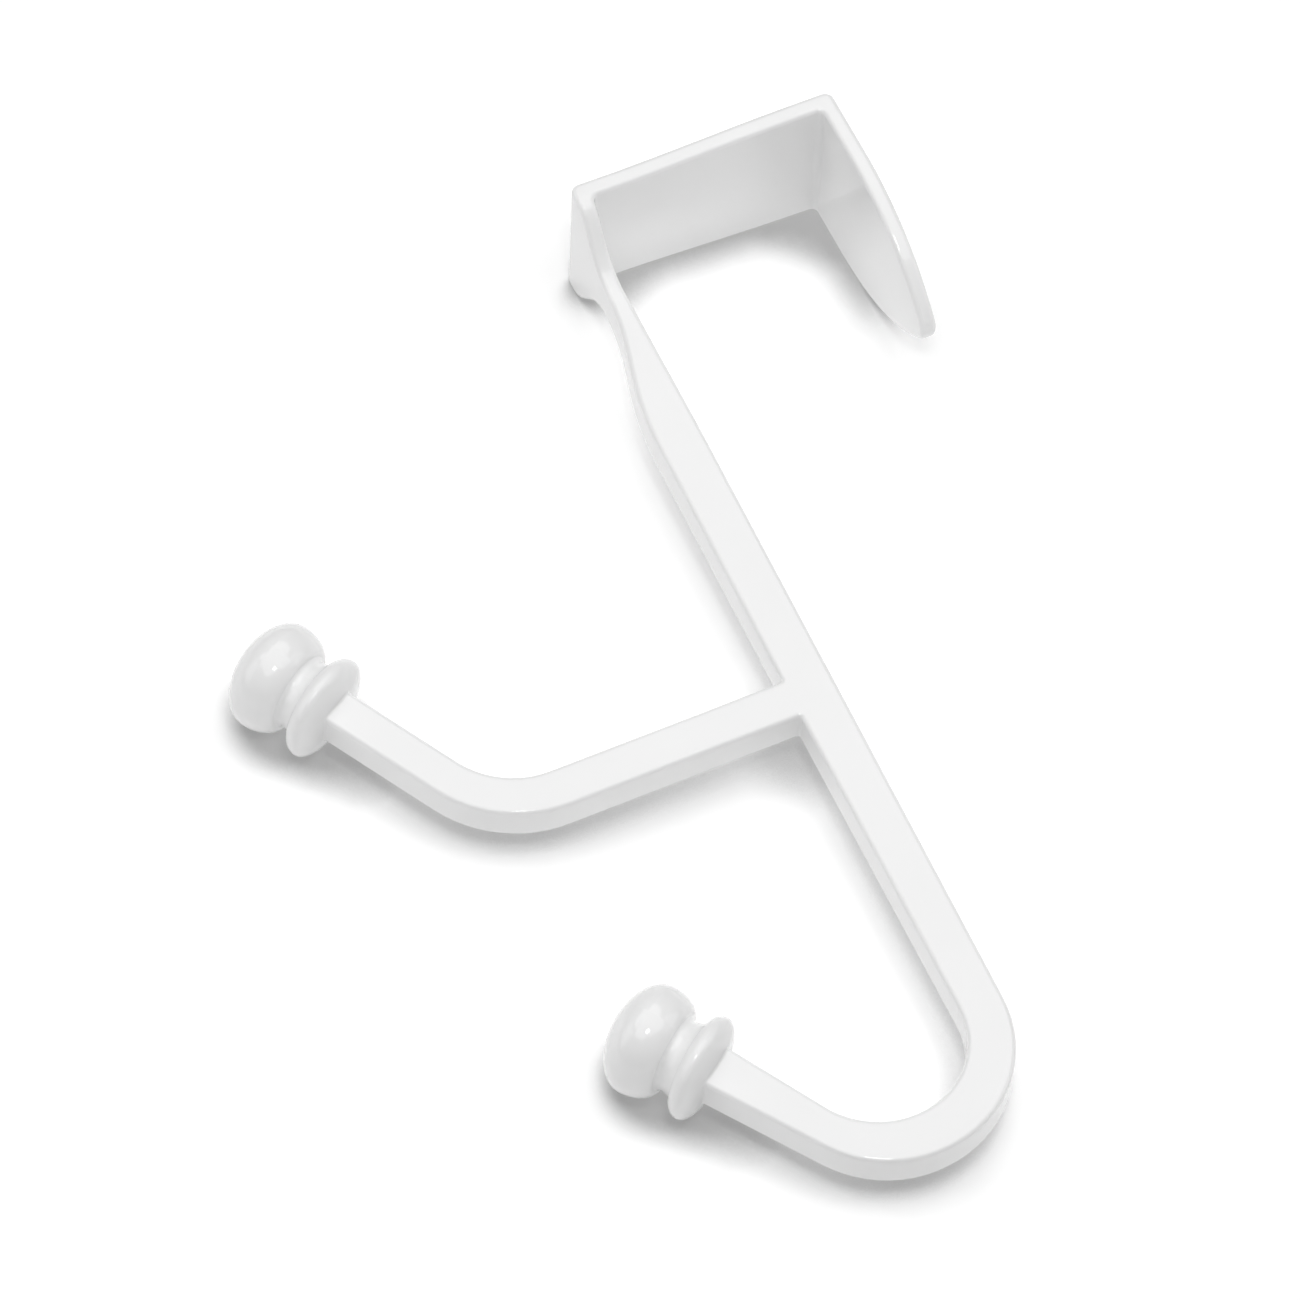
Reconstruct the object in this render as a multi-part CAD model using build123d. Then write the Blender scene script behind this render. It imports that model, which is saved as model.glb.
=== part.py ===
from build123d import *
from math import acos, atan2, cos, degrees, hypot, radians, sin, tan
import os

# Over-door hook, cast in one piece. It is drawn as it hangs on a door: X is the
# width, -Y the room side, +Z up. The origin is the middle of the seat, which is
# the underside of the top plate and rests on the door's top edge.

# Clip over the door
door_gap = 36.0
plate_thickness = 2.5
top_thickness = 2.7
clip_width_front = 23.2
clip_width_back = 25.6
inner_corner_radius = 1.0
outer_corner_radius = 1.4

# Shoulder where the front plate narrows into the stem
shoulder_drop = 12.0
shoulder_fullness = 4.0
cove_fullness = 6.5

# Front plate's inner face, set back at its root so that the stem bears on the door
relief_depth = 0.5
relief_drop = 36.0

# Back plate, which opens a little away from the door and ends in an ogive
back_length = 34.0
back_straight = 9.5
back_splay = 1.3
back_tip_radius = 3.0

# Stem, which deepens below the clip
bar_width = 6.0
stem_depth = 6.8
stem_foot_depth = 6.4
ramp_start = 8.0
ramp_end = 38.5

# Upper arm and its bend
arm_drop = 83.8
arm_droop = 0.8
arm_run = 35.4
arm_depth = 6.2
arm_outer_radius = 19.0
arm_inner_radius = 12.9
arm_tip_rise = 60.0
arm_bend_depth = 5.8
arm_tip_length = 19.9
arm_tip_depth = 5.8
junction_radius = 0.5

# Lower hook
hook_drop = 157.4
hook_outer_radius = 18.6
hook_front_radius = 17.1
hook_inner_radius = 12.6
hook_tip_rise = 54.0
hook_bend_depth = 5.5
hook_tip_length = 19.5
hook_tip_depth = 6.9

# Knobs: a collar with a domed back, a fine step, a hollow neck and a flattened ball
collar_radius = 7.8
collar_middle = 1.4
collar_dome = 2.4
dome_fullness = 0.6
collar_front_round = 1.8
collar_front_turn = 60.0
step_height = 0.3
step_round = 0.3
neck_radius = 5.3
neck_sweep = 0.9
neck_round = 0.7
ball_radius = 8.2
ball_offset = 10.2
ball_back_length = 4.3
ball_front_length = 5.0
ball_back_fullness = 0.6
ball_front_fullness = 0.55

# Rounding of the casting's edges, where its faces turn by more than sharp_turn
edge_radius = 0.7
sharp_turn = 30.0
root_fillet = 0.35

# How far the outlines that only cut the width stand clear of the part
view_margin = 5.0
taper_ease = 0.7

# Levels that the features share
half_gap = door_gap / 2
stem_back = -half_gap
stem_front = stem_back - stem_depth
root_back = stem_back - relief_depth
plate_front = root_back - plate_thickness
corner_room = inner_corner_radius + 0.5


def unit(angle):
    """Unit vector of an angle in degrees, in the plane of a sketch."""
    return Vector(cos(radians(angle)), sin(radians(angle)))


def arc(centre, radius, start, end):
    """Arc of a circle between two angles, clockwise where end is the smaller one."""
    middle = (start + end) / 2
    points = [centre + unit(angle) * radius for angle in (start, middle, end)]
    return ThreePointArc(*points)


def reach(centre, radius, angle, depth):
    """How far out from the origin a bar's inner line lies, below a bend's outer arc."""
    return centre.dot(unit(angle)) + radius - depth


def bend_centre(radius, first, first_reach, last, last_reach):
    """Centre of an arc that touches two lines, each given by its normal and its reach."""
    u, v = unit(first), unit(last)
    a, b = first_reach - radius, last_reach - radius
    det = u.X * v.Y - u.Y * v.X
    return Vector((a * v.Y - b * u.Y) / det, (b * u.X - a * v.X) / det)


def tangent_angle(point, centre, radius):
    """Angle at which the tangent from a point touches the circle's outer side."""
    away = point - centre
    return degrees(atan2(away.Y, away.X) - acos(radius / hypot(away.X, away.Y)))


# The arm's bend and end, in the side view, with Y across and Z up
arm_first = 270 + arm_droop
arm_last = 270 - arm_tip_rise
arm_start = Vector(stem_front, -arm_drop)
arm_heading = unit(180 + arm_droop)
arm_centre = arm_start + arm_heading * arm_run - unit(arm_first) * (arm_outer_radius - arm_depth / 2)
arm_inner = bend_centre(
    arm_inner_radius,
    arm_first,
    reach(arm_centre, arm_outer_radius, arm_first, arm_depth),
    arm_last,
    reach(arm_centre, arm_outer_radius, arm_last, arm_bend_depth),
)
arm_tip = unit(180 - arm_tip_rise)
arm_tip_start = arm_centre + unit(arm_last) * (arm_outer_radius - arm_tip_depth / 2)
arm_end = arm_tip_start + arm_tip * arm_tip_length

# The lower hook's bend and end, in the same view. The bend is tighter at the front.
hook_last = -90 - hook_tip_rise
hook_centre = Vector(stem_back - hook_outer_radius, hook_outer_radius - hook_drop)
hook_front = Vector(hook_centre.X, hook_front_radius - hook_drop)
hook_inner = bend_centre(
    hook_inner_radius,
    0,
    stem_back - stem_foot_depth,
    hook_last,
    reach(hook_front, hook_front_radius, hook_last, hook_bend_depth),
)
hook_tip = unit(180 - hook_tip_rise)
hook_tip_start = hook_front + unit(hook_last) * (hook_front_radius - hook_tip_depth / 2)
hook_end = hook_tip_start + hook_tip * hook_tip_length


def bar_tip(end, heading, outward, depth):
    """Outer and inner corner of a bar's end, which is sunk a little into its knob."""
    sunk = end + heading * collar_middle
    return sunk + outward * (depth / 2), sunk - outward * (depth / 2)


def clip_and_hook_profile():
    """Side view of the clip, the stem and the lower hook, as one outline."""
    splay = tan(radians(back_splay))
    foot = -back_length - corner_room
    outer_gap = half_gap + plate_thickness
    back_top = Vector(outer_gap - top_thickness * splay, top_thickness)
    ramp_top = Vector(plate_front, -ramp_start)
    ramp_foot = Vector(stem_front, -ramp_end)
    ease = Vector(0, (ramp_end - ramp_start) / 2)
    below_arm = Vector(stem_front, -arm_drop - arm_depth)
    back_bend = arc(hook_centre, hook_outer_radius, 0, -90)
    front_bend = arc(hook_front, hook_front_radius, -90, hook_last)
    touch = tangent_angle(below_arm, hook_inner, hook_inner_radius)
    inner_bend = arc(hook_inner, hook_inner_radius, hook_last, touch)
    tip_outer, tip_inner = bar_tip(hook_end, hook_tip, unit(hook_last), hook_tip_depth)
    face = make_face(
        [
            Line((root_back, 0), (stem_back, -relief_drop)),
            Line((stem_back, -relief_drop), back_bend @ 0),
            back_bend,
            front_bend,
            Line(front_bend @ 1, tip_outer),
            Line(tip_outer, tip_inner),
            Line(tip_inner, inner_bend @ 0),
            inner_bend,
            Line(inner_bend @ 1, below_arm),
            Line(below_arm, ramp_foot),
            Bezier(ramp_foot, ramp_foot + ease, ramp_top - ease, ramp_top),
            Line(ramp_top, (plate_front, top_thickness)),
            Line((plate_front, top_thickness), back_top),
            Line(back_top, (outer_gap - foot * splay, foot)),
            Line((outer_gap - foot * splay, foot), (half_gap - foot * splay, foot)),
            Line((half_gap - foot * splay, foot), (half_gap, 0)),
            Line((half_gap, 0), (root_back, 0)),
        ]
    )
    inner_corners = [v for v in face.vertices() if abs(v.Y) < 0.01]
    face = fillet(inner_corners, inner_corner_radius)
    outer_corners = [v for v in face.vertices() if abs(v.Y - top_thickness) < 0.01]
    return fillet(outer_corners, outer_corner_radius)


def arm_profile():
    """Side view of the upper arm, rooted inside the stem."""
    root = arm_start - arm_heading * (stem_depth / 2)
    half = unit(arm_first) * (arm_depth / 2)
    outer_bend = arc(arm_centre, arm_outer_radius, arm_first, arm_last)
    inner_bend = arc(arm_inner, arm_inner_radius, arm_last, arm_first)
    tip_outer, tip_inner = bar_tip(arm_end, arm_tip, unit(arm_last), arm_tip_depth)
    return make_face(
        [
            Line(root + half, outer_bend @ 0),
            outer_bend,
            Line(outer_bend @ 1, tip_outer),
            Line(tip_outer, tip_inner),
            Line(tip_inner, inner_bend @ 0),
            inner_bend,
            Line(inner_bend @ 1, root - half),
            Line(root - half, root + half),
        ]
    )


def side_profile():
    """The whole side view, with the two inner corners where the arm leaves the stem."""
    face = clip_and_hook_profile() + arm_profile()
    corners = [
        v
        for v in face.vertices()
        if abs(v.X - stem_front) < 0.1 and abs(v.Y + arm_drop) < arm_depth * 0.75
    ]
    return fillet(corners, junction_radius)


def mirrored(edges):
    """The same edges on the other side of the middle plane."""
    return [edge.mirror(Plane.YZ) for edge in edges]


def front_envelope():
    """Front view of the front plate: full width, shoulder, cove, then the bar's width."""
    wide = clip_width_front / 2
    slim = bar_width / 2
    high = top_thickness + view_margin
    low = -hook_drop - view_margin
    foot = -shoulder_drop
    right = [
        Line((wide, high), (wide, 0)),
        Bezier((wide, 0), (wide, -shoulder_fullness), (slim, foot + cove_fullness), (slim, foot)),
        Line((slim, foot), (slim, low)),
    ]
    ends = [Line((slim, low), (-slim, low)), Line((wide, high), (-wide, high))]
    outline = make_face(right + mirrored(right) + ends)
    run = view_margin - min(arm_end.X, hook_end.X)
    return extrude(Plane.XZ.offset(half_gap - corner_room) * outline, run)


def back_envelope():
    """Front view of the back plate: straight sides, then an ogive with a rounded tip."""
    wide = clip_width_back / 2
    high = top_thickness + view_margin
    tip = back_tip_radius
    # The side arc starts upright and runs tangent into the tip's circle.
    span = back_length - back_straight - tip
    radius = (wide**2 + span**2 - tip**2) / (2 * (wide - tip))
    side_centre = Vector(wide - radius, -back_straight)
    away = Vector(0, tip - back_length) - side_centre
    side = arc(side_centre, radius, 0, degrees(atan2(away.Y, away.X)))
    right = [Line((wide, high), (wide, -back_straight)), side]
    end = side @ 1
    nose = ThreePointArc(end, (0, -back_length), (-end.X, end.Y))
    outline = make_face(right + mirrored(right) + [nose, Line((wide, high), (-wide, high))])
    return extrude(Plane.XZ.offset(corner_room - half_gap) * outline, -door_gap)


def top_envelope():
    """Plan of the top plate, which widens smoothly from the front plate to the back one."""
    front = clip_width_front / 2
    back = clip_width_back / 2
    y = half_gap - corner_room
    end = y + corner_room / 4
    ease = taper_ease * y
    right = [
        Line((front, -end), (front, -y)),
        Bezier((front, -y), (front, -y + ease), (back, y - ease), (back, y)),
        Line((back, y), (back, end)),
    ]
    ends = [Line((front, -end), (-front, -end)), Line((back, end), (-back, end))]
    plan = make_face(right + mirrored(right) + ends)
    return extrude(Plane.XY.offset(-corner_room) * plan, top_thickness + 2 * corner_room)


def knob(end, heading):
    """Turned knob whose collar sits on a bar's end. It is revolved about its own axis."""
    front = collar_front_round
    turn = radians(collar_front_turn)
    dome_pole = Vector(0, collar_middle - collar_dome)
    widest = Vector(collar_radius, collar_middle)
    lip = Vector(collar_radius - front * (1 - cos(turn)), collar_middle + front * sin(turn))
    step = Vector(lip.X - step_height, lip.Y)
    neck = Vector(neck_radius, ball_offset - ball_back_length)
    side = Vector(ball_radius, ball_offset)
    pole = Vector(0, ball_offset + ball_front_length)
    dome_crown = dome_pole + Vector(collar_radius * dome_fullness, 0)
    dome_side = widest - Vector(0, collar_dome * dome_fullness)
    ball_back = side - Vector(0, ball_back_length * ball_back_fullness)
    ball_front = side + Vector(0, ball_front_length * ball_front_fullness)
    ball_crown = pole + Vector(ball_radius * ball_front_fullness, 0)
    groove = arc(neck + Vector(neck_round, -neck_round), neck_round, 180, 90)
    neck_end, ball_start = groove @ 0, groove @ 1
    neck_start = step + Vector(-neck_sweep, neck_sweep / 2)
    neck_side = neck_end - Vector(0, neck_sweep)
    outline = make_face(
        [
            Bezier(dome_pole, dome_crown, dome_side, widest),
            arc(Vector(collar_radius - front, collar_middle), front, 0, collar_front_turn),
            Line(lip, step),
            Bezier(step, neck_start, neck_side, neck_end),
            groove,
            Bezier(ball_start, ball_start + Vector(neck_sweep, 0), ball_back, side),
            Bezier(side, ball_front, ball_crown, pole),
            Line(pole, dome_pole),
        ]
    )
    for corner in (lip, step):
        outline = fillet(outline.vertices().sort_by_distance(corner)[0], step_round)
    place = Plane(origin=(0, end.X, end.Y), x_dir=(1, 0, 0), z_dir=(0, -heading.Y, heading.X))
    return place * revolve(outline, Axis.Y)


def bar_body():
    """Clip and bar: the side view cut to the width that the front and plan views leave."""
    width = max(clip_width_front, clip_width_back) + view_margin
    slab = extrude(Plane.YZ.offset(-width / 2) * side_profile(), width)
    return slab & (front_envelope() + top_envelope() + back_envelope())


def edge_faces(body):
    """Each edge of a body with the faces that meet there."""
    faces_of = {}
    for face in body.faces():
        for edge in face.edges():
            faces_of.setdefault(edge, []).append(face)
    return faces_of


def rim_edges(body):
    """Edges where two faces meet at a real angle, without the bars' ends, which the knobs cover."""
    tips = [Vector(0, arm_end.X, arm_end.Y), Vector(0, hook_end.X, hook_end.Y)]
    found = []
    for edge, faces in edge_faces(body).items():
        middle = edge @ 0.5
        if len(faces) < 2 or min((middle - tip).length for tip in tips) < bar_width:
            continue
        first, second = (face.normal_at(middle) for face in faces)
        if first.get_angle(second) > sharp_turn:
            found.append(edge)
    return found


def root_edges(body, end, heading, depth):
    """The loop of edges where a bar runs into the domed back of its knob's collar."""
    tip = Vector(0, end.X, end.Y)
    along = Vector(0, heading.X, heading.Y)
    bar_corner = hypot(bar_width, depth) / 2
    found = []
    for edge in body.edges():
        away = edge @ 0.5 - tip
        height = away.dot(along)
        if abs(height) < collar_dome and (away - along * height).length < bar_corner:
            found.append(edge)
    return found


def hook_casting():
    """The whole hook: the clip and bar with rounded edges, then the two knobs."""
    body = bar_body()
    body = fillet(rim_edges(body), edge_radius)
    for end, heading, depth in (
        (arm_end, arm_tip, arm_tip_depth),
        (hook_end, hook_tip, hook_tip_depth),
    ):
        body += knob(end, heading)
        body = fillet(root_edges(body, end, heading, depth), root_fillet)
    return body


if __name__ == "__main__":
    os.makedirs("parts", exist_ok=True)
    export_step(hook_casting(), "parts/hook_casting.step")
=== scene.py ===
"""Looks of an over-door hook: a one-piece casting in white enamel, lying on a white table.

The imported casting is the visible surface. This script gives it its enamel, lays the table
under it where the hook would come to rest on its side, and sets the lamps and the camera.
Lengths are in metres unless a name says otherwise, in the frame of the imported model, where
the hook hangs upright on its door: +Z up, -Y to the room and +X to the viewer.
"""

import logging
import math
from dataclasses import dataclass, field
from enum import Enum

import bmesh
import bpy
import numpy as np
from mathutils import Matrix, Vector


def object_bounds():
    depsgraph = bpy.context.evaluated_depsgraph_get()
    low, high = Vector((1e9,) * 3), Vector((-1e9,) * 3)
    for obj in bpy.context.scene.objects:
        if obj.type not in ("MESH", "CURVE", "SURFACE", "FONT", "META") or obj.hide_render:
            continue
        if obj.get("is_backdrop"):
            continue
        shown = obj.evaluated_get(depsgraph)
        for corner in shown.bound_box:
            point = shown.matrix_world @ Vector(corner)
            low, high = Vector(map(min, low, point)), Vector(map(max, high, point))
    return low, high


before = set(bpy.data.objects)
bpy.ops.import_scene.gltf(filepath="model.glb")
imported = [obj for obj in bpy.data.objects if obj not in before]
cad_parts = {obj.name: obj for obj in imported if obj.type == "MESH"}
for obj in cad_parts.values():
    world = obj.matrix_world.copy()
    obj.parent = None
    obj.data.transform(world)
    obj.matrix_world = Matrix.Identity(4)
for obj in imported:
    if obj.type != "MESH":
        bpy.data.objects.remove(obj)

LOG = logging.getLogger("over_door_hook")
MM = 0.001
CASTING = "hook_casting"
BODY = "root"


def linear(hex_colour: str) -> tuple[float, float, float, float]:
    """Turns an sRGB hex colour into the linear colour that shaders take.

    Args:
        hex_colour: Six hex digits with or without a leading hash.

    Returns:
        Red, green, blue and an alpha of 1.
    """
    digits = hex_colour.lstrip("#")
    parts = np.array([int(digits[i : i + 2], 16) for i in (0, 2, 4)]) / 255
    low = parts / 12.92
    high = ((parts + 0.055) / 1.055) ** 2.4
    red, green, blue = np.where(parts <= 0.04045, low, high)
    return float(red), float(green), float(blue), 1.0


def add_node(
    tree: bpy.types.NodeTree,
    kind: str,
    settings: dict[str, object] | None = None,
    inputs: dict[str, object] | None = None,
) -> bpy.types.Node:
    """Adds a node, sets its properties and fills or links its inputs.

    Args:
        tree: The node tree that gets the node.
        kind: The node's type name, such as ShaderNodeTexNoise.
        settings: Properties of the node and their values.
        inputs: Input names with a value, or with an output socket to link from.

    Returns:
        The new node.
    """
    node = tree.nodes.new(kind)
    for name, value in (settings or {}).items():
        setattr(node, name, value)
    for name, value in (inputs or {}).items():
        socket = node.inputs[int(name)] if name.isdigit() else node.inputs[name]
        if isinstance(value, bpy.types.NodeSocket):
            tree.links.new(value, socket)
        else:
            socket.default_value = value
    return node


def empty_material(name: str) -> tuple[bpy.types.Material, bpy.types.NodeTree, bpy.types.Node]:
    """Makes a material that holds only its output node.

    Args:
        name: The material's name.

    Returns:
        The material, its node tree and its output node.
    """
    material = bpy.data.materials.new(name)
    material.use_nodes = True
    tree = material.node_tree
    tree.nodes.clear()
    return material, tree, add_node(tree, "ShaderNodeOutputMaterial")


class CoatGrade(Enum):
    """How a coat lies on the casting: the roughness that its gloss grade gives."""

    HIGH_GLOSS = 0.05
    GLOSS = 0.07
    SATIN = 0.34


@dataclass(frozen=True)
class StovedEnamel:
    """White stoving enamel, sprayed over die-cast zinc and baked.

    It flows before it sets, so it reflects lamps as soft bright spots, edges read soft, and flat
    faces carry a very faint orange peel. It is slightly greyer where the coat is thick.

    Attributes:
        thin: Its colour where the coat is thin.
        thick: Its colour where the coat is thick.
        grade: Its gloss grade.
        ior: Index of refraction.
        peel_pitch_mm: Spacing of the orange peel's dimples.
        peel_height_mm: Their depth.
        cloud_pitch_mm: Spacing of the changes in thickness.
        flow_radius_mm: Radius to which the wet coat rounds an edge.
        flow_samples: Rays that measure that rounding.
    """

    thin: str = "#F3F3F3"
    thick: str = "#EFEFEF"
    grade: CoatGrade = CoatGrade.GLOSS
    ior: float = 1.5
    peel_pitch_mm: float = 1.6
    peel_height_mm: float = 0.004
    cloud_pitch_mm: float = 14.0
    flow_radius_mm: float = 0.12
    flow_samples: int = 6

    def material(self) -> bpy.types.Material:
        """Builds the enamel as a material on Object coordinates.

        Returns:
            The material.
        """
        material, tree, output = empty_material("stoved_enamel_white")
        place = add_node(tree, "ShaderNodeTexCoord").outputs["Object"]
        clouds = add_node(
            tree,
            "ShaderNodeTexNoise",
            inputs={"Vector": place, "Scale": 1 / (self.cloud_pitch_mm * MM), "Detail": 2.0},
        )
        tint = add_node(
            tree,
            "ShaderNodeMix",
            {"data_type": "RGBA"},
            {"0": clouds.outputs["Fac"], "6": linear(self.thin), "7": linear(self.thick)},
        )
        peel = add_node(
            tree,
            "ShaderNodeTexNoise",
            inputs={"Vector": place, "Scale": 1 / (self.peel_pitch_mm * MM), "Detail": 1.0},
        )
        flow = add_node(
            tree,
            "ShaderNodeBevel",
            {"samples": self.flow_samples},
            {"Radius": self.flow_radius_mm * MM},
        )
        bump = add_node(
            tree,
            "ShaderNodeBump",
            inputs={
                "Strength": 1.0,
                "Distance": self.peel_height_mm * MM,
                "Height": peel.outputs["Fac"],
                "Normal": flow.outputs["Normal"],
            },
        )
        shader = add_node(
            tree,
            "ShaderNodeBsdfPrincipled",
            inputs={
                "Base Color": tint.outputs[2],
                "Roughness": self.grade.value,
                "IOR": self.ior,
                "Normal": bump.outputs["Normal"],
            },
        )
        tree.links.new(shader.outputs["BSDF"], output.inputs["Surface"])
        return material


@dataclass
class HookCasting:
    """The whole hook, which is one casting: clip, stem, two arms and two knobs.

    Attributes:
        finish: The enamel on it.
        far_side: Least share of -X in the direction of a face that the hook can lie on.
    """

    finish: StovedEnamel = field(default_factory=StovedEnamel)
    far_side: float = 0.9

    def dress(self, node: bpy.types.Object) -> None:
        """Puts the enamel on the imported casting.

        Args:
            node: The casting's object.
        """
        enamel = self.finish.material()
        for slot in node.material_slots:
            slot.material = enamel

    def resting_plane(self, node: bpy.types.Object) -> tuple[np.ndarray, float]:
        """Finds the table on which the hook rests when it lies on its far side.

        The table touches three corners of the hook's convex hull. It is the hull's face on
        the -X side that the centre of the surface lies over.

        Args:
            node: The casting's object.

        Returns:
            The table's upward normal and its distance from the origin along that normal.
        """
        form = bmesh.new()
        form.from_mesh(node.data)
        area = np.array([face.calc_area() for face in form.faces])
        middle = np.array([face.calc_center_median() for face in form.faces])
        centre = (area[:, None] * middle).sum(axis=0) / area.sum()
        hull = bmesh.ops.convex_hull(form, input=form.verts)["geom"]
        faces = [part for part in hull if isinstance(part, bmesh.types.BMFace)]
        normals = np.array([face.normal for face in faces])
        corners = np.array([[corner.co for corner in face.verts[:3]] for face in faces])
        form.free()
        toward = normals * np.sign(((corners[:, 0] - centre) * normals).sum(axis=1))[:, None]
        below = -toward[:, 0] > self.far_side
        normals, corners = toward[below], corners[below]
        # The foot of the centre's plumb line on each face, in the face's own two edges.
        drop = ((corners[:, 0] - centre) * normals).sum(axis=1)
        foot = centre + normals * drop[:, None] - corners[:, 0]
        first = corners[:, 1] - corners[:, 0]
        second = corners[:, 2] - corners[:, 0]
        aa, ab, bb = (first * first).sum(1), (first * second).sum(1), (second * second).sum(1)
        fa, fb = (foot * first).sum(1), (foot * second).sum(1)
        scale = aa * bb - ab * ab
        along, across = (bb * fa - ab * fb) / scale, (aa * fb - ab * fa) / scale
        inside = (along >= 0) & (across >= 0) & (along + across <= 1)
        index = int(np.flatnonzero(inside)[0])
        normal = -normals[index]
        return normal, float(normal @ corners[index, 0])


@dataclass
class Tabletop:
    """White table with painted shadow and glow under the hook. It isn't part of the object.

    Open air is the share of the space over a point of the table, within shade_reach_mm, that
    nothing fills.

    Attributes:
        reach: Half the side of the table's square.
        middle: Point of the hook that the square's middle lies under.
        colour: The paper's colour in the open.
        shade: Colour of the painted shadow where the hook is close over it.
        shade_reach_mm: How far up from the paper open air is measured, for the painted shadow
            and glow.
        open_air_samples: Rays that measure the open air.
        shade_open: Open air at which the painted shadow has the shade's colour, and at which the
            paper has its own.
        lift: Glow of the paper in the open.
        painted_glow_peak: Painted glow where the least open air is left under the hook, which
            lightens the painted shadow there.
        painted_glow_open: Open air at which the painted glow is painted_glow_peak, and at which
            it is lift.
    """

    reach: float = 0.45
    middle: tuple[float, float, float] = (0.0, -0.038, -0.08)
    colour: str = "#FBFBFB"
    shade: str = "#AEAEAE"
    shade_reach_mm: float = 12.0
    open_air_samples: int = 16
    shade_open: tuple[float, float] = (0.5, 0.75)
    lift: float = 0.17
    painted_glow_peak: float = 0.40
    painted_glow_open: tuple[float, float] = (0.2, 0.6)

    def build(self, normal: np.ndarray, height: float) -> bpy.types.Object:
        """Lays the table's square under the hook.

        Corner (i, j) of the square is the foot of the middle on the table, plus i times one
        direction and j times the other.

        Args:
            normal: The table's upward normal.
            height: The table's distance from the origin along the normal.

        Returns:
            The table's object.
        """
        across = np.cross(normal, [0.0, 0.0, 1.0])
        across /= np.linalg.norm(across)
        along = np.cross(normal, across)
        middle = np.array(self.middle)
        middle += normal * (height - middle @ normal)
        signs = np.array([[-1, -1], [-1, 1], [1, 1], [1, -1]]) * self.reach
        corners = middle + signs[:, :1] * along + signs[:, 1:] * across
        facing = np.cross(corners[1] - corners[0], corners[2] - corners[0]) @ normal
        order = [0, 1, 2, 3] if facing > 0 else [3, 2, 1, 0]
        mesh = bpy.data.meshes.new("tabletop")
        mesh.from_pydata(corners.tolist(), [], [order])
        table = bpy.data.objects.new("tabletop", mesh)
        bpy.context.scene.collection.objects.link(table)
        mesh.materials.append(self.material())
        table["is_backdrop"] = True
        return table

    def material(self) -> bpy.types.Material:
        """Builds matt white paper that is a pure white backdrop where no shadow falls.

        A painted shadow darkens it within shade_reach_mm of whatever stands on it, for all rays
        but diffuse bounces, and where little open air is left above it a painted glow lightens
        it and lights the hook. The back of the sheet lets everything through, so the hook shows
        from behind too.

        Returns:
            The material.
        """
        material, tree, output = empty_material("backdrop_paper_painted_shadow_and_glow")
        rays = add_node(tree, "ShaderNodeLightPath").outputs
        open_air = add_node(
            tree,
            "ShaderNodeAmbientOcclusion",
            {"samples": self.open_air_samples},
            {"Distance": self.shade_reach_mm * MM},
        )
        # Painted glow strength: strongest where the least open air is left under the hook.
        painted_glow_strength = add_node(
            tree,
            "ShaderNodeMapRange",
            inputs={
                "Value": open_air.outputs["AO"],
                "From Min": self.painted_glow_open[0],
                "From Max": self.painted_glow_open[1],
                "To Min": self.painted_glow_peak,
                "To Max": self.lift,
            },
        )
        # Painted shadow: the paper goes toward the shade colour where little open air is left.
        shaded = add_node(
            tree,
            "ShaderNodeMapRange",
            inputs={
                "Value": open_air.outputs["AO"],
                "From Min": self.shade_open[0],
                "From Max": self.shade_open[1],
            },
        )
        # Diffuse bounces see the paper without its painted shadow.
        bounce = add_node(
            tree,
            "ShaderNodeMath",
            {"operation": "MAXIMUM"},
            {"0": shaded.outputs[0], "1": rays["Is Diffuse Ray"]},
        )
        painted_shadow_colour = add_node(
            tree,
            "ShaderNodeMix",
            {"data_type": "RGBA"},
            {"0": bounce.outputs[0], "6": linear(self.shade), "7": linear(self.colour)},
        )
        paper = add_node(tree, "ShaderNodeBsdfDiffuse", inputs={"Color": painted_shadow_colour.outputs[2]})
        # Painted glow: the paper emits light, though it is no lamp, and this lights the hook
        # too.
        glow = add_node(
            tree,
            "ShaderNodeEmission",
            inputs={"Color": painted_shadow_colour.outputs[2], "Strength": painted_glow_strength.outputs[0]},
        )
        both = add_node(
            tree, "ShaderNodeAddShader", inputs={"0": paper.outputs[0], "1": glow.outputs[0]}
        )
        back = add_node(tree, "ShaderNodeNewGeometry").outputs["Backfacing"]
        clear = add_node(tree, "ShaderNodeBsdfTransparent")
        sheet = add_node(
            tree,
            "ShaderNodeMixShader",
            inputs={"0": back, "1": both.outputs[0], "2": clear.outputs[0]},
        )
        tree.links.new(sheet.outputs[0], output.inputs["Surface"])
        return material


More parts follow.
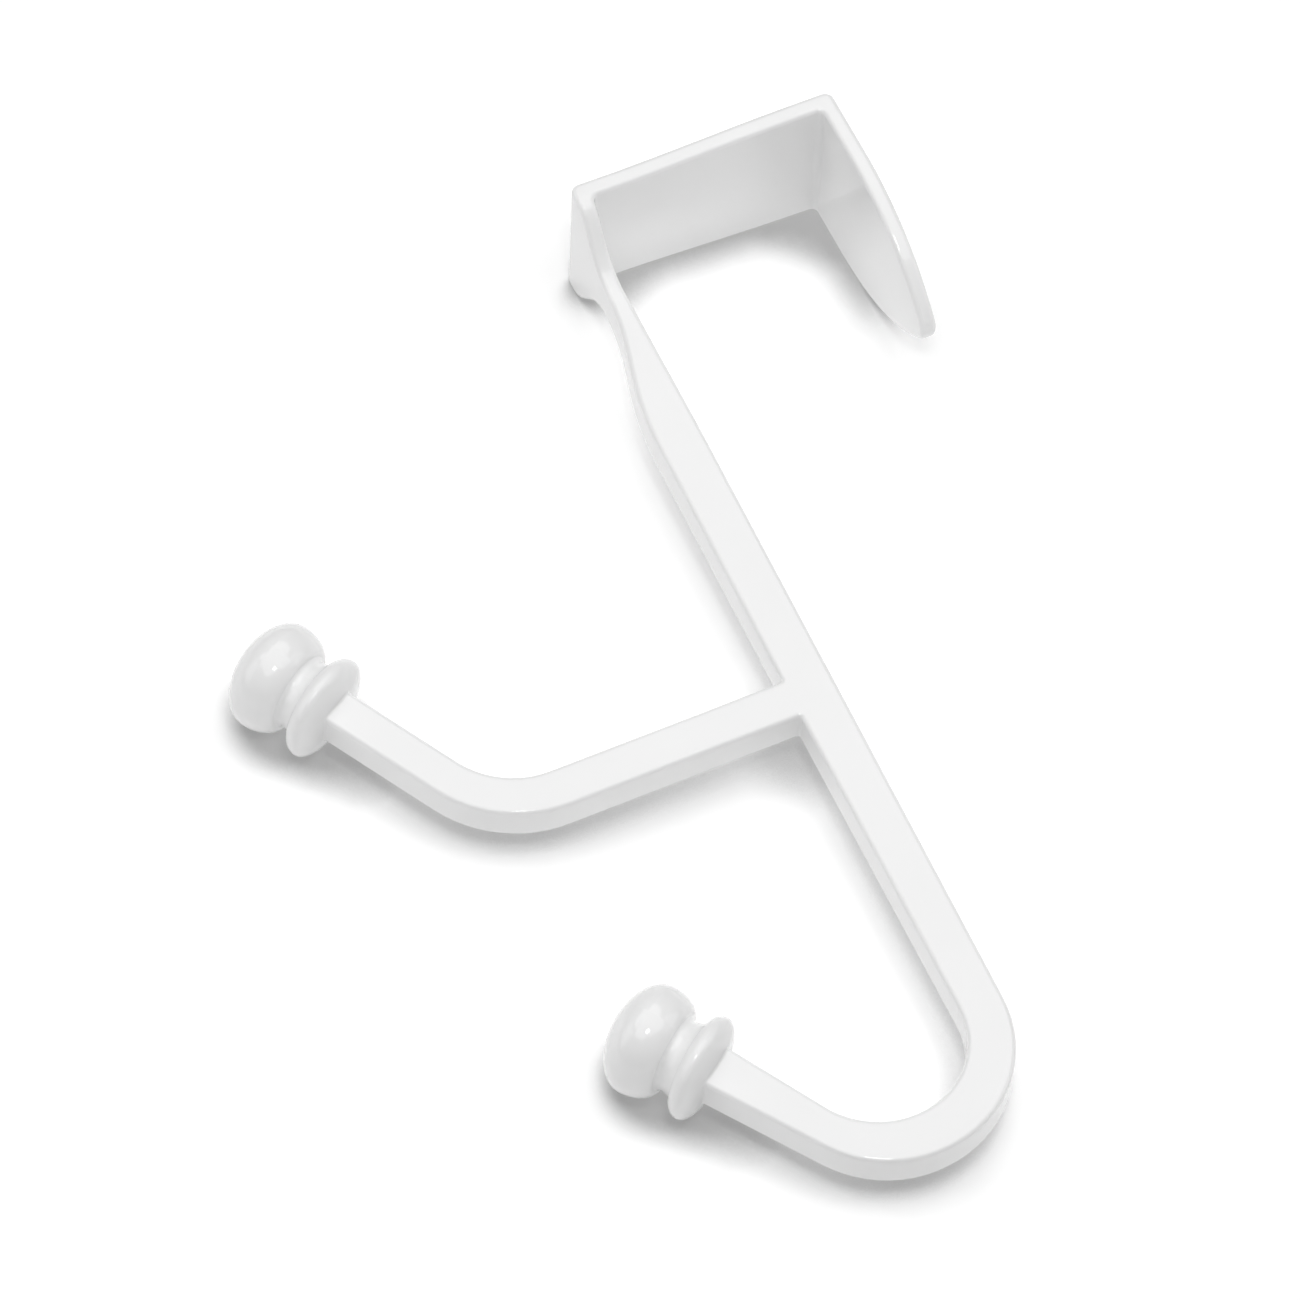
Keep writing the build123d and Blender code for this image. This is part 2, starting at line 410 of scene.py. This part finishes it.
@dataclass(frozen=True)
class SoftBox:
    """Square softbox that hangs over the table and faces the hook.

    Attributes:
        name: The lamp's name.
        power: Radiant power in watts.
        size: Side of the square.
        tilt_deg: Lean of the lamp's direction from straight over the table.
        bearing_deg: Where it leans to, clockwise from the top of the picture.
        distance: Distance from the hook's centre.
    """

    name: str
    power: float
    size: float
    tilt_deg: float = 0.0
    bearing_deg: float = 0.0
    distance: float = 0.75

    def build(self, centre: Vector, over: Vector, ahead: Vector) -> bpy.types.Object:
        """Hangs the lamp.

        Args:
            centre: The point that the lamp faces.
            over: The table's upward normal.
            ahead: The direction on the table that runs up the picture.

        Returns:
            The lamp's object.
        """
        light = bpy.data.lights.new(self.name, "AREA")
        light.shape = "SQUARE"
        light.size = self.size
        light.energy = self.power
        lamp = bpy.data.objects.new(self.name, light)
        bpy.context.scene.collection.objects.link(lamp)
        tilt, bearing = math.radians(self.tilt_deg), math.radians(self.bearing_deg)
        lean = ahead * math.cos(bearing) + ahead.cross(over) * math.sin(bearing)
        direction = over * math.cos(tilt) + lean * math.sin(tilt)
        lamp.location = centre + direction * self.distance
        lamp.rotation_euler = direction.to_track_quat("Z", "Y").to_euler()
        return lamp


@dataclass(frozen=True)
class Studio:
    """Even white surroundings, soft light from above and a low fill on either side.

    The key leans to the camera's side, so that no flat face mirrors it in the side view.

    Attributes:
        ambient: Strength of the surroundings, as the hook and the table get it.
        lamps: The softboxes.
    """

    ambient: float = 0.11
    lamps: tuple[SoftBox, ...] = (
        SoftBox("key_softbox", power=0.55, size=0.10, tilt_deg=20, bearing_deg=180),
        SoftBox("overhead_softbox", power=5.35, size=0.95, tilt_deg=3, bearing_deg=0),
        SoftBox("right_fill", power=0.80, size=0.50, tilt_deg=60, bearing_deg=90),
        SoftBox("left_fill", power=0.80, size=0.50, tilt_deg=60, bearing_deg=270),
    )

    def build(self, centre: Vector, over: Vector, ahead: Vector) -> None:
        """Sets the world and hangs the lamps.

        Args:
            centre: The point that the lamps face.
            over: The table's upward normal.
            ahead: The direction on the table that runs up the picture.
        """
        world = bpy.data.worlds.new("white_surroundings")
        bpy.context.scene.world = world
        world.use_nodes = True
        tree = world.node_tree
        tree.nodes.clear()
        rays = add_node(tree, "ShaderNodeLightPath").outputs
        seen = add_node(
            tree,
            "ShaderNodeMath",
            {"operation": "MAXIMUM"},
            {"0": rays["Is Camera Ray"], "1": rays["Is Transmission Ray"]},
        )
        level = add_node(
            tree,
            "ShaderNodeMix",
            {"data_type": "FLOAT"},
            {"0": seen.outputs[0], "2": self.ambient, "3": 1.0},
        )
        sky = add_node(
            tree,
            "ShaderNodeBackground",
            inputs={"Color": linear("#FFFFFF"), "Strength": level.outputs[0]},
        )
        output = add_node(tree, "ShaderNodeOutputWorld")
        tree.links.new(sky.outputs[0], output.inputs["Surface"])
        for lamp in self.lamps:
            lamp.build(centre, over, ahead)
            LOG.info("lamp %s", lamp.name)


@dataclass(frozen=True)
class Viewpoint:
    """The photograph's camera, which looks down at the table from the hook's lower end.

    Attributes:
        elevation_deg: Angle between the line of sight and the plane X = 0.
        turn_deg: Turn of the hook about X, from upright to how it lies in the picture.
        lean_deg: Lean of the hook in the picture, away from the plane X = 0.
        distance: Distance from the camera to its target.
        target: Point of the hook at the middle of the picture.
        lens_mm: Focal length on a sensor as wide as sensor_mm.
        sensor_mm: Width of the sensor.
        near_clip: Least distance that the camera sees.
        far_clip: Greatest distance that it sees.
    """

    elevation_deg: float = 58.39
    turn_deg: float = 24.09
    lean_deg: float = 1.516
    distance: float = 1.2
    target: tuple[float, float, float] = (-0.00022, -0.0390, -0.06706)
    lens_mm: float = 235.62
    sensor_mm: float = 36.0
    near_clip: float = 0.01
    far_clip: float = 10.0

    def axes(self) -> tuple[Vector, Vector, Vector]:
        """Works out the camera's right, up and forward directions.

        Returns:
            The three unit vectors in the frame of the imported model.
        """
        elevation = math.radians(self.elevation_deg)
        turn = math.radians(self.turn_deg)
        lean = math.radians(self.lean_deg)
        top = Vector((0.0, math.sin(turn), math.cos(turn)))
        side = Vector((0.0, math.cos(turn), -math.sin(turn)))
        near = Vector((1.0, 0.0, 0.0))
        right = near * math.sin(lean) + side * math.cos(lean)
        height = near * math.cos(lean) - side * math.sin(lean)
        up = top * math.sin(elevation) + height * math.cos(elevation)
        forward = top * math.cos(elevation) - height * math.sin(elevation)
        return right, up, forward

    def build(self) -> bpy.types.Object:
        """Creates the camera and makes it the scene's camera.

        Returns:
            The camera's object.
        """
        data = bpy.data.cameras.new("product_camera")
        data.sensor_width = self.sensor_mm
        data.lens = self.lens_mm
        data.clip_start = self.near_clip
        data.clip_end = self.far_clip
        camera = bpy.data.objects.new("product_camera", data)
        bpy.context.scene.collection.objects.link(camera)
        right, up, forward = self.axes()
        turned = Matrix((right, up, -forward)).transposed().to_4x4()
        place = Vector(self.target) - forward * self.distance
        camera.matrix_world = Matrix.Translation(place) @ turned
        bpy.context.scene.camera = camera
        return camera


def main() -> None:
    """Dresses the casting, lays the table, and sets the lamps and the camera."""
    logging.basicConfig(level=logging.INFO, format="%(message)s")
    bpy.context.scene.view_settings.view_transform = "Standard"
    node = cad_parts[CASTING]
    cad_box = [list(corner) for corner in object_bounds()]
    low, high = (Vector(corner) for corner in cad_box)
    centre = (low + high) / 2

    casting = HookCasting()
    casting.dress(node)
    LOG.info("piece %s on body %s", CASTING, BODY)

    normal, height = casting.resting_plane(node)
    Tabletop().build(normal, height)
    LOG.info("table normal %s, height %.4f", np.round(normal, 4), height)

    viewpoint = Viewpoint()
    viewpoint.build()
    over = Vector(normal)
    up = viewpoint.axes()[1]
    ahead = (up - over * up.dot(over)).normalized()
    Studio().build(centre, over, ahead)


if __name__ == "__main__":
    main()
